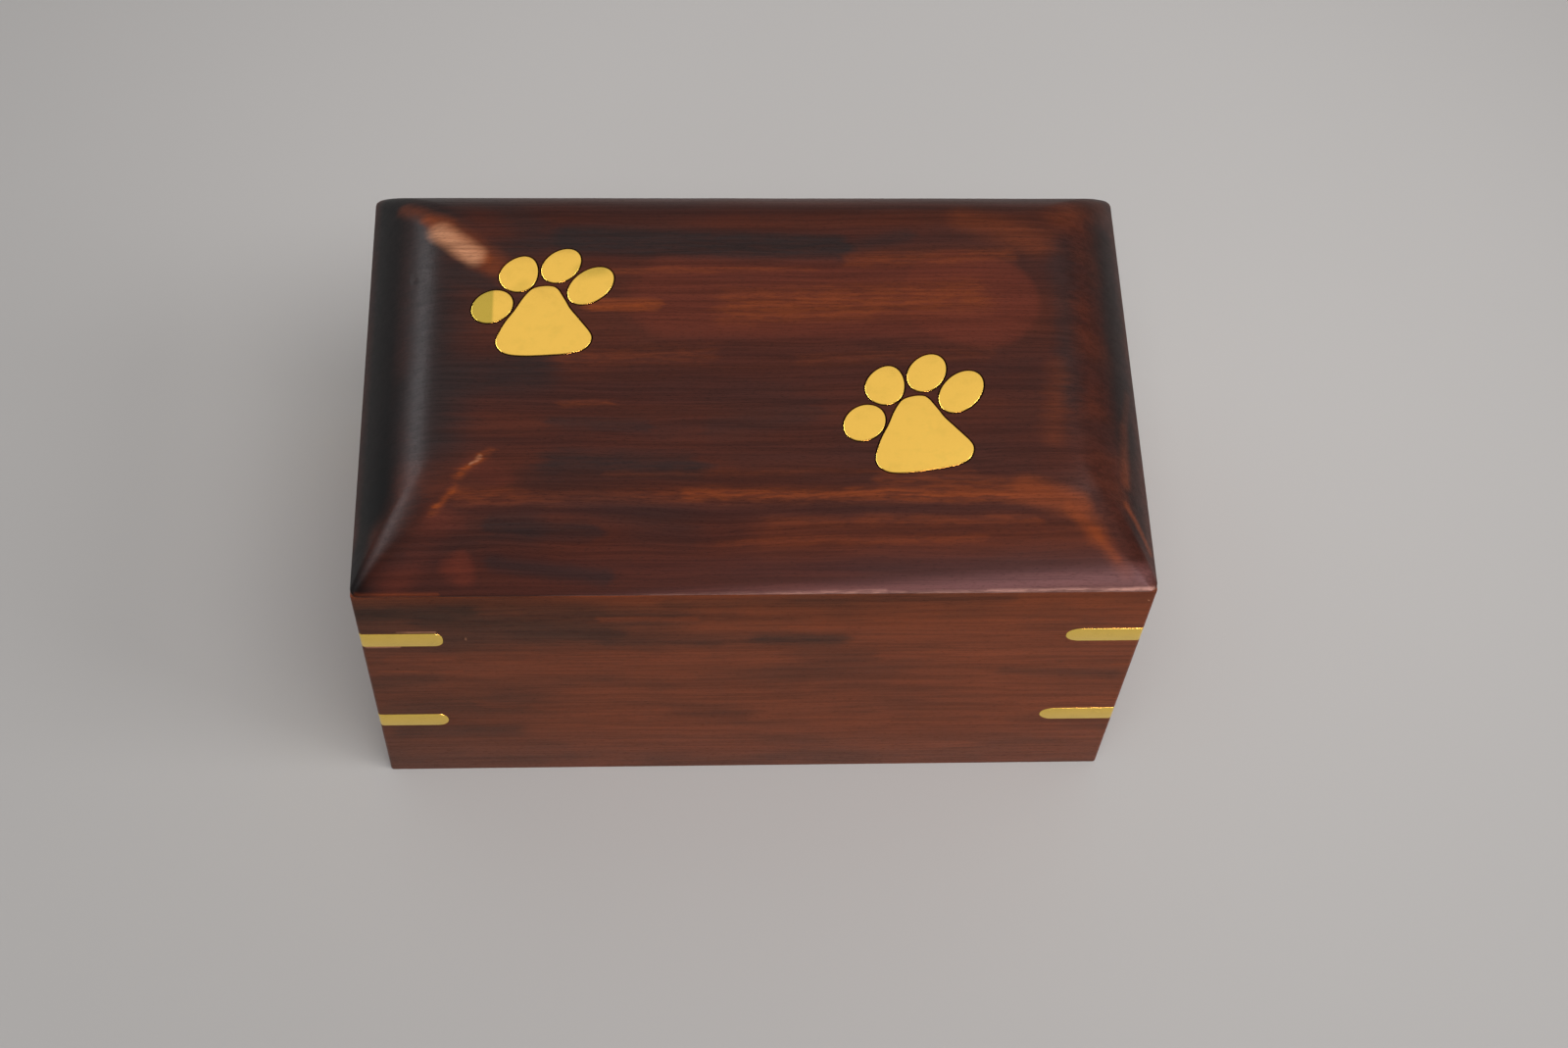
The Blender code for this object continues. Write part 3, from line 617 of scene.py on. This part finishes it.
def sanded(solid, sizes):
    """Makes the slopes a little uneven, as they are where a board is shaped by hand."""
    for vert in solid.verts:
        inset = min(HALF_LENGTH - abs(vert.co.x), HALF_DEPTH - abs(vert.co.y))
        share = inset / sizes.slope_width
        if vert.co.z > ARRIS and 0 < share < 1:
            swell = noise.noise(vert.co * 55) + 0.5 * noise.noise(vert.co * 130 + Vector((7, 3, 1)))
            ease = math.sin(math.pi * share) ** 1.5
            vert.co.z += sizes.unevenness * swell * ease


def dented(solid, at, radius, depth):
    for vert in solid.verts:
        away = (vert.co - at).length / radius
        if away < 1:
            vert.co.z -= depth * (1 - away * away) ** 2


def plan_loop(node):
    """The outline in plan of a CAD inlay's top, anticlockwise."""
    solid = bmesh.new()
    solid.from_mesh(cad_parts[node].data)
    bmesh.ops.remove_doubles(solid, verts=solid.verts, dist=WELD)
    top = max(vert.co.z for vert in solid.verts)
    after = {}
    for edge in solid.edges:
        level = all(abs(vert.co.z - top) < WELD for vert in edge.verts)
        upright = [face for face in edge.link_faces if abs(face.normal.z) < 0.5]
        if level and len(upright) == 1:
            for vert in edge.verts:
                after.setdefault(vert, []).append(edge.other_vert(vert))
    first = min(after, key=lambda vert: (vert.co.x, vert.co.y))
    loop, last = [first], None
    while True:
        step = next(vert for vert in after[loop[-1]] if vert is not last)
        last = loop[-1]
        if step is first:
            break
        loop.append(step)
    points = [(vert.co.x, vert.co.y) for vert in loop]
    solid.free()
    area = sum(a[0] * b[1] - b[0] * a[1] for a, b in zip(points, points[1:] + points[:1]))
    return points if area > 0 else points[::-1]


def through(before, start, end, after, share):
    """A smooth curve from start to end that heads for the points before and after them."""
    return 0.5 * (
        2 * start
        + (end - before) * share
        + (2 * before - 5 * start + 4 * end - after) * share**2
        + (3 * start - before - 3 * end + after) * share**3
    )


def smoothed(points, steps=3):
    fine = []
    for i in range(len(points)):
        xs, ys = zip(*(points[(i + k) % len(points)] for k in (-1, 0, 1, 2)))
        fine += [(through(*xs, step / steps), through(*ys, step / steps)) for step in range(steps)]
    return fine


def grown(outline, by):
    """An anticlockwise outline moved outwards along its normals."""
    points = []
    for i, (x, y) in enumerate(outline):
        along_x = outline[(i + 1) % len(outline)][0] - outline[i - 1][0]
        along_y = outline[(i + 1) % len(outline)][1] - outline[i - 1][1]
        length = math.hypot(along_x, along_y)
        points.append((x + by * along_y / length, y - by * along_x / length))
    return points


def stacked(outlines):
    """A bmesh lofted through outlines in plan, each with its height, from the lowest up."""
    solid = bmesh.new()
    lofted(solid, [[solid.verts.new((x, y, z)) for x, y in outline] for outline, z in outlines])
    return solid


PAW_PARTS = ("pad", "toe_1", "toe_2", "toe_3", "toe_4")
PAW_NODES = [f"{side}_paw_{part}" for side in ("left", "right") for part in PAW_PARTS]
BAND_NODES = [
    f"corner_band_{end}_{side}_{level}"
    for end in ("front", "back") for side in ("left", "right") for level in ("upper", "lower")
]


def make_lid(sizes):
    solid = bmesh.new()
    tongue_x = HALF_LENGTH - WALL_THICKNESS - TONGUE_CLEARANCE
    tongue_y = HALF_DEPTH - WALL_THICKNESS - TONGUE_CLEARANCE
    softened = 0.3 * MM
    plans = [
        (tongue_x - softened, tongue_y - softened, LID_CORNER_RADIUS, TONGUE_FOOT),
        (tongue_x, tongue_y, LID_CORNER_RADIUS, TONGUE_FOOT + softened),
        (tongue_x, tongue_y, LID_CORNER_RADIUS, SEAT),
    ]
    for inset, height in slope_profile(sizes):
        share = min(inset / sizes.slope_width, 1.0)
        radius = LID_CORNER_RADIUS + (sizes.flat_corner_radius - LID_CORNER_RADIUS) * share
        if inset > sizes.slope_width:
            radius -= (inset - sizes.slope_width) * 0.5
        plans.append((HALF_LENGTH - inset, HALF_DEPTH - inset, radius, height))
    rings = [
        [solid.verts.new((x, y, height)) for x, y in rounded_rectangle(half_x, half_y, radius)]
        for half_x, half_y, radius, height in plans
    ]
    lofted(solid, rings)
    sanded(solid, sizes)
    dented(solid, Vector((-55.1, 14.7, 74.4)) * MM, 0.8 * MM, 0.12 * MM)
    lid = finished("lid_moulded", solid, "lid_wood_fine", "lid")
    cutters = []
    for node in PAW_NODES:
        outline = grown(smoothed(plan_loop(node)), sizes.inlay_gap)
        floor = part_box(node)[0].z
        cutters.append(built(node + "_pocket", stacked([(outline, floor), (outline, LID_TOP + MM)])))
    cut_out(lid, cutters)
    return lid


def make_inlays(sizes):
    for node in PAW_NODES:
        low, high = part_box(node)
        outline = grown(smoothed(plan_loop(node)), sizes.inlay_fill)
        rim = sizes.inlay_rim
        layers = [(outline, low.z)]
        for step in range(RIM_STEPS + 1):
            turn = math.pi / 2 * step / RIM_STEPS
            level = high.z + sizes.inlay_proud - rim * (1 - math.sin(turn))
            layers.append((grown(outline, -rim * (1 - math.cos(turn))), level))
        side, _, part = node.partition("_paw_")
        finished(f"paw_{side}_{part}", stacked(layers), "inlay_brass", node)


def wall_outline(half_along, half_across, gap):
    """Plan of a wall that faces -Y, from mitre to mitre, with its half of each rounded corner."""
    off_mitre = math.asin(gap / 2 / WALL_CORNER_RADIUS)
    centre = (half_along - WALL_CORNER_RADIUS, WALL_CORNER_RADIUS - half_across)
    right = arc(centre, WALL_CORNER_RADIUS, -math.pi / 2, -math.pi / 4 - off_mitre, CORNER_STEPS // 2)
    right.append((half_along - WALL_THICKNESS - gap / math.sqrt(2), WALL_THICKNESS - half_across))
    return right + [(-x, y) for x, y in reversed(right)]


def eased(solid, edges, sizes):
    """Rounds edges of a board over a little."""
    bmesh.ops.bevel(
        solid, geom=edges, offset=sizes.wall_arris, offset_type="OFFSET", segments=3, profile=0.5,
        affect="EDGES",
    )


def wall_solid(half_along, half_across, turn, sizes):
    """A mitred wall, its outer arrises eased, turned to its side of the box."""
    solid = bmesh.new()
    outline = wall_outline(half_along, half_across, sizes.mitre_gap)
    top = SEAT - sizes.seat_gap
    rings = [[solid.verts.new((x, y, z)) for x, y in outline] for z in (0.0, top)]
    lofted(solid, rings)
    bmesh.ops.recalc_face_normals(solid, faces=solid.faces)
    arrises = []
    for edge in solid.edges:
        level = abs(edge.verts[0].co.z - edge.verts[1].co.z) < WELD
        outside = all(vert.co.y < -half_across + WALL_CORNER_RADIUS for vert in edge.verts)
        if level and outside:
            arrises.append(edge)
    eased(solid, arrises, sizes)
    bmesh.ops.rotate(solid, matrix=Matrix.Rotation(turn, 3, "Z"), verts=solid.verts)
    return solid


def block(half_x, half_y, low, high):
    solid = bmesh.new()
    bmesh.ops.create_cube(solid, size=1)
    bmesh.ops.scale(solid, vec=(2 * half_x, 2 * half_y, high - low), verts=solid.verts)
    bmesh.ops.translate(solid, vec=(0, 0, (high + low) / 2), verts=solid.verts)
    return solid


def make_walls(sizes):
    base_low, base_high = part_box("base_board")
    sides = {
        "front": (0, HALF_LENGTH, HALF_DEPTH),
        "right": (90, HALF_DEPTH, HALF_LENGTH),
        "back": (180, HALF_LENGTH, HALF_DEPTH),
        "left": (270, HALF_DEPTH, HALF_LENGTH),
    }
    for side, (turn, half_along, half_across) in sides.items():
        material = "long_wall_wood" if side in ("front", "back") else "short_wall_wood"
        solid = wall_solid(half_along, half_across, math.radians(turn), sizes)
        wall = finished(f"wall_{side}", solid, material, f"{side}_wall")
        joint = 0.1 * MM
        rebate = block(base_high.x + joint, base_high.y + joint, -MM, base_high.z + joint)
        cutters = [built("rebate", rebate)]
        for node in BAND_NODES:
            if side in node.split("_"):
                cutters.append(built(node + "_pocket", band_solid(node, sizes, sizes.band_gap)))
        cut_out(wall, cutters)


def make_base(sizes):
    low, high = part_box("base_board")
    solid = block(high.x, high.y, low.z, high.z)
    eased(solid, list(solid.edges), sizes)
    finished("base_panel", solid, "base_wood_fine", "base_board")


# Length of the rounded tip (mm) and its fullness, where 2 is a round tip and more is squarer
BAND_TIPS = {
    "corner_band_front_left_upper": (1.7, 2.6),
    "corner_band_front_left_lower": (1.9, 2.2),
    "corner_band_front_right_upper": (2.5, 2.1),
    "corner_band_front_right_lower": (2.4, 2.0),
}


def band_columns(total, tip, bend_start, bend_end):
    """Places along a band where its outline has a point on each edge."""
    places = [tip * (1 - math.cos(math.pi / 2 * step / TIP_STEPS)) for step in range(TIP_STEPS + 1)]
    places += [total - place_at for place_at in places]
    places += [bend_start + (bend_end - bend_start) * step / BEND_STEPS for step in range(BEND_STEPS + 1)]
    return sorted(set(round(place_at, 7) for place_at in places))


def band_solid(node, sizes, clearance=0.0):
    """A brass strip with rounded tips, bent round its corner of the box, or with a clearance its pocket."""
    low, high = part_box(node)
    _, _, end, side, _ = node.split("_")
    side_x = 1 if side == "left" else -1
    side_y = 1 if end == "front" else -1
    thickness = BAND_THICKNESS + clearance
    front_leg = high.x - low.x + clearance
    side_leg = high.y - low.y + clearance
    half_width = (high.z - low.z) / 2 + clearance
    level = (high.z + low.z) / 2
    bend_start = front_leg - WALL_CORNER_RADIUS
    bend_length = WALL_CORNER_RADIUS * math.pi / 2
    total = bend_start + bend_length + side_leg - WALL_CORNER_RADIUS
    tip, fullness = BAND_TIPS.get(node, (sizes.band_tip / MM, 2.2))
    tip *= MM
    columns = band_columns(total, tip, bend_start, bend_start + bend_length)

    def half_height(along, inset):
        near = min(along, total - along)
        share = max(min(near / tip, 1.0), 0.0006)
        return (half_width - inset) * (1 - (1 - share) ** fullness) ** (1 / fullness)

    def wrapped(along, depth, height):
        if along < bend_start:
            x, y = max(front_leg - along, depth), depth
        elif along > bend_start + bend_length:
            x, y = depth, max(WALL_CORNER_RADIUS + along - bend_start - bend_length, depth)
        elif depth > WALL_CORNER_RADIUS:
            x = y = depth
        else:
            turn = (along - bend_start) / WALL_CORNER_RADIUS
            reach = WALL_CORNER_RADIUS - depth
            x, y = WALL_CORNER_RADIUS - reach * math.sin(turn), WALL_CORNER_RADIUS - reach * math.cos(turn)
        return (side_x * (x - HALF_LENGTH), side_y * (y - HALF_DEPTH), level + height)

    if clearance:
        layers = [(-MM, 0.0), (thickness, 0.0)]
    else:
        rim = sizes.band_rim
        turns = [math.pi / 2 * step / RIM_STEPS for step in range(RIM_STEPS + 1)]
        layers = [
            (rim * (1 - math.sin(turn)) - sizes.band_proud, rim * (1 - math.cos(turn)))
            for turn in reversed(turns)
        ]
        layers.append((thickness, 0.0))
    solid = bmesh.new()
    rings = []
    for depth, inset in layers:
        upper, lower = [], []
        for along in columns:
            moved = inset + along * (total - 2 * inset) / total
            half = half_height(along, inset)
            upper.append(solid.verts.new(wrapped(moved, depth, half)))
            lower.append(solid.verts.new(wrapped(moved, depth, -half)))
        rings.append((upper, lower))
    for (upper, lower), (next_upper, next_lower) in zip(rings, rings[1:]):
        ring, next_ring = upper + lower[::-1], next_upper + next_lower[::-1]
        for i in range(len(ring)):
            after = (i + 1) % len(ring)
            solid.faces.new((ring[i], ring[after], next_ring[after], next_ring[i]))
    for upper, lower in (rings[0], rings[-1]):
        for i in range(len(upper) - 1):
            solid.faces.new((upper[i], upper[i + 1], lower[i + 1], lower[i]))
    bmesh.ops.remove_doubles(solid, verts=solid.verts, dist=WELD)
    return solid


def make_bands(sizes):
    for node in BAND_NODES:
        name = node.replace("corner_band", "band")
        finished(name, band_solid(node, sizes), "band_brass", node)


# Stage

def make_floor(look):
    material, tree, shader, position = new_material("pale_floor")
    clouds = stepped(tree, noise_value(tree, position, (9, 9, 9), 3.0), 0.3, 0.7, 0.0, 0.06)
    darker = tuple(channel * 0.8 for channel in look.floor)
    stone = mixed(tree, clouds, (*look.floor, 1.0), (*darker, 1.0))
    # Painted pool of light: the floor is lighter round a point behind the box and darker further out.
    shade = stepped(tree, measured(tree, "DISTANCE", position, (0.03, 0.09, 0)), 0.06, 0.24, 1.08, 0.88)
    tree.links.new(shaded(tree, stone, shade), shader.inputs["Base Color"])
    shader.inputs["Roughness"].default_value = 0.6
    shader.inputs["Specular IOR Level"].default_value = 0.2
    solid = bmesh.new()
    bmesh.ops.create_grid(solid, x_segments=2, y_segments=2, size=6)
    floor = built("floor", solid)
    floor.data.materials.append(material)


# Name, direction from the box, distance, width, height, radiance, colour,
# and whether it lights matt surfaces and glossy ones
LIGHTS = (
    ("fill", (0.10, -0.36, 0.90), 1.3, 1.0, 0.7, 4.3, (1.0, 0.97, 0.95), True, False),
    ("near_lamp", (0.692, -0.252, 0.676), 0.636, 0.25, 0.25, 5.0, (1.0, 0.98, 0.96), True, False),
    ("ceiling", (0.06, 0.50, 0.86), 2.2, 2.0, 1.5, 0.70, (1.0, 0.97, 0.93), False, True),
    ("left_window", (-0.80, 0.18, 0.565), 1.7, 2.2, 0.50, 12.0, (0.90, 0.96, 1.0), False, True),
    ("front_window", (0.45, -0.89, 0.08), 1.8, 0.95, 0.36, 34.0, (1.0, 0.66, 0.70), False, True),
    ("right_window", (0.50, 0.22, 0.84), 1.7, 0.4, 0.4, 10.0, (0.90, 0.96, 1.0), False, True),
)


def keep_off(holder, thing):
    """Leaves one object unlit by a light, which still lights all others."""
    receivers = bpy.data.collections.new(holder.name + "_receivers")
    receivers.objects.link(thing)
    receivers.collection_objects[0].light_linking.link_state = "EXCLUDE"
    holder.light_linking.receiver_collection = receivers


def make_lights(look):
    for name, direction, distance, width, height, radiance, colour, lights_matt, lights_glossy in LIGHTS:
        lamp = bpy.data.lights.new(name, "AREA")
        lamp.shape = "RECTANGLE"
        lamp.size = width
        lamp.size_y = height
        lamp.energy = radiance * math.pi * width * height
        lamp.color = colour
        holder = linked(name, lamp)
        toward = Vector(direction).normalized()
        holder.location = toward * distance + Vector((0, 0, 0.07))
        holder.rotation_euler = toward.to_track_quat("Z", "Y").to_euler()
        holder.visible_diffuse = lights_matt
        holder.visible_glossy = lights_glossy
        if name == "front_window":
            keep_off(holder, bpy.data.objects["floor"])
    world = bpy.data.worlds.new("room")
    world.use_nodes = True
    background = world.node_tree.nodes["Background"]
    background.inputs["Color"].default_value = (*look.room, 1.0)
    background.inputs["Strength"].default_value = look.room_strength
    bpy.context.scene.world = world


def make_camera():
    camera = bpy.data.cameras.new("camera")
    camera.lens = CAMERA_LENS
    camera.sensor_width = SENSOR_WIDTH
    camera.sensor_fit = "HORIZONTAL"
    camera.clip_start = 0.01
    camera.clip_end = 50
    holder = linked("camera", camera)
    backward = CAMERA_RIGHT.cross(CAMERA_UP)
    turn = Matrix((CAMERA_RIGHT, CAMERA_UP, backward)).transposed()
    holder.matrix_world = Matrix.Translation(CAMERA_AT) @ turn.to_4x4()
    bpy.context.scene.camera = holder
    bpy.context.scene.view_settings.view_transform = "Standard"


# The add-on's settings

def length(name, description, default_mm):
    return bpy.props.FloatProperty(
        name=name, description=description, default=default_mm * MM, min=0.0, unit="LENGTH", precision=5
    )


def tint(name, description, default):
    return bpy.props.FloatVectorProperty(
        name=name, description=description, default=default, size=3, min=0.0, max=1.0, subtype="COLOR"
    )


def share(name, description, default, highest=1.0):
    return bpy.props.FloatProperty(
        name=name, description=description, default=default, min=0.0, max=highest, subtype="FACTOR"
    )


class UrnSizes(bpy.types.PropertyGroup):
    slope_width: length("Slope width", "How far the lid's moulded slope reaches in from its edge", 15.0)
    slope_power: bpy.props.FloatProperty(
        name="Slope power", description="How quickly the slope curves over into the flat",
        default=2.2, min=1.0,
    )
    flat_corner_radius: length("Flat corner radius", "Corner radius of the lid's flat in plan", 7.0)
    arris_radius: length("Arris radius", "Rounding where the slope meets the lid's upright edge", 0.6)
    unevenness: length("Unevenness", "How far hand shaping lifts or sinks the slope", 0.12)
    seat_gap: length("Seat gap", "Joint between the lid and the walls", 0.04)
    mitre_gap: length("Mitre gap", "Joint between two walls", 0.02)
    wall_arris: length("Wall arris", "Easing of the walls' and the base's outer edges", 0.2)
    inlay_fill: length("Inlay fill", "How far each inlay reaches into the clearance of its pocket", 0.05)
    inlay_gap: length("Inlay gap", "Width of the pocket beyond the inlay's own outline", 0.24)
    inlay_rim: length("Inlay rim", "Burnished rounding round each inlay's top", 0.12)
    inlay_proud: length("Inlay proud", "How far the inlays stand above the lid", 0.04)
    band_gap: length("Band gap", "Gap round each brass band", 0.04)
    band_rim: length("Band rim", "Rounding of the bands' outer edges", 0.12)
    band_proud: length("Band proud", "How far the bands stand out of the walls", 0.02)
    band_tip: length("Band tip", "Length of the rounded tips of the bands at the back", 2.1)


class UrnColours(bpy.types.PropertyGroup):
    body: tint("Body", "Dark red-brown of the lid's stained rosewood", (0.0600, 0.0160, 0.0107))
    warm: tint("Warm", "Orange-brown figure", (0.198, 0.0425, 0.0125))
    bright: tint("Bright", "Orange where the stain is thin", (0.290, 0.0580, 0.0108))
    red: tint("Red", "Red-brown patches", (0.134, 0.0275, 0.0145))
    dark: tint("Dark", "Stain laid on thick", (0.0255, 0.0165, 0.0162))
    # Black is stain, and also painted shade where three lid marks take back the lamps' sheen.
    black: tint("Black", "Stain that gathered on the slopes", (0.0030, 0.0025, 0.0027))
    raw: tint("Raw", "Bare wood where the stain is sanded through", (0.550, 0.250, 0.133))
    # Worn is partly wood rubbed bare on the front arris and partly a painted highlight along it.
    worn: tint("Worn", "Arris rubbed bare", (0.620, 0.310, 0.250))
    # Painted sheen: the colour of the front light's reflection low on the front slope.
    bloom: tint("Bloom", "Paler zone beside the worn arris", (0.250, 0.105, 0.105))
    wall_body: tint("Wall body", "Red-brown of the walls", (0.212, 0.0495, 0.0160))
    # Wall warm and wall dark are streaks, and also paint light onto the right of the front wall and shade
    # onto its left.
    wall_warm: tint("Wall warm", "Orange-brown streaks in the walls", (0.290, 0.0640, 0.0200))
    wall_dark: tint("Wall dark", "Dark streaks in the walls", (0.040, 0.0205, 0.0135))
    brass: tint("Brass", "Polished brass", (0.860, 0.530, 0.098))
    # Band brass is painted lighter than the inlays' brass, for light that the bands' front faces catch.
    band_brass: tint("Band brass", "Brass of the corner bands, a little yellower", (0.980, 0.680, 0.120))
    # Dull brass is tarnish, and also paints the darker parts of the left paw's reflection.
    dull_brass: tint("Dull brass", "Brass that has begun to tarnish", (0.420, 0.330, 0.050))
    wood_roughness: share("Wood roughness", "Roughness of the satin stain", 0.40)
    brass_roughness: share("Brass roughness", "Roughness of the polished brass", 0.16)
    floor: tint("Floor", "The plain pale floor", (0.560, 0.550, 0.545))
    room: tint("Room", "Light from all round the box", (1.0, 0.99, 0.98))
    room_strength: share("Room strength", "How strong that light is", 0.26, 5.0)


class URN_OT_lid(bpy.types.Operator):
    """Make the moulded lid with its tongue and the pockets for the inlays"""
    bl_idname = "urn.lid"
    bl_label = "Lid"

    def execute(self, context):
        make_lid(context.scene.urn_sizes)
        return {"FINISHED"}


class URN_OT_inlays(bpy.types.Operator):
    """Make the ten brass pieces of the two paw prints"""
    bl_idname = "urn.inlays"
    bl_label = "Paw inlays"

    def execute(self, context):
        make_inlays(context.scene.urn_sizes)
        return {"FINISHED"}


class URN_OT_walls(bpy.types.Operator):
    """Make the four mitred walls with their rebate and the pockets for the bands"""
    bl_idname = "urn.walls"
    bl_label = "Walls"

    def execute(self, context):
        make_walls(context.scene.urn_sizes)
        return {"FINISHED"}


class URN_OT_base(bpy.types.Operator):
    """Make the base board"""
    bl_idname = "urn.base"
    bl_label = "Base board"

    def execute(self, context):
        make_base(context.scene.urn_sizes)
        return {"FINISHED"}


class URN_OT_bands(bpy.types.Operator):
    """Make the eight brass bands that bend round the corners"""
    bl_idname = "urn.bands"
    bl_label = "Corner bands"

    def execute(self, context):
        make_bands(context.scene.urn_sizes)
        return {"FINISHED"}


class URN_OT_stage(bpy.types.Operator):
    """Make the pale floor, the soft lights and the camera"""
    bl_idname = "urn.stage"
    bl_label = "Stage"

    def execute(self, context):
        look = context.scene.urn_colours
        make_floor(look)
        make_lights(look)
        make_camera()
        return {"FINISHED"}


PIECE_OPERATORS = (URN_OT_lid, URN_OT_inlays, URN_OT_walls, URN_OT_base, URN_OT_bands, URN_OT_stage)


class URN_PT_panel(bpy.types.Panel):
    """The urn's pieces, sizes and colours"""
    bl_idname = "URN_PT_panel"
    bl_label = "Pet cremation urn"
    bl_space_type = "VIEW_3D"
    bl_region_type = "UI"
    bl_category = "Urn"

    def draw(self, context):
        for kind in PIECE_OPERATORS:
            self.layout.operator(kind.bl_idname)
        for settings in (context.scene.urn_sizes, context.scene.urn_colours):
            box = self.layout.box()
            for name in settings.__annotations__:
                box.prop(settings, name)


CLASSES = (UrnSizes, UrnColours, *PIECE_OPERATORS, URN_PT_panel)


def register():
    for kind in CLASSES:
        bpy.utils.register_class(kind)
    bpy.types.Scene.urn_sizes = bpy.props.PointerProperty(type=UrnSizes)
    bpy.types.Scene.urn_colours = bpy.props.PointerProperty(type=UrnColours)


def unregister():
    del bpy.types.Scene.urn_colours
    del bpy.types.Scene.urn_sizes
    for kind in reversed(CLASSES):
        bpy.utils.unregister_class(kind)


def main():
    register()
    bpy.ops.urn.stage()
    bpy.ops.urn.lid()
    bpy.ops.urn.inlays()
    bpy.ops.urn.walls()
    bpy.ops.urn.base()
    bpy.ops.urn.bands()


if __name__ == "__main__":
    main()
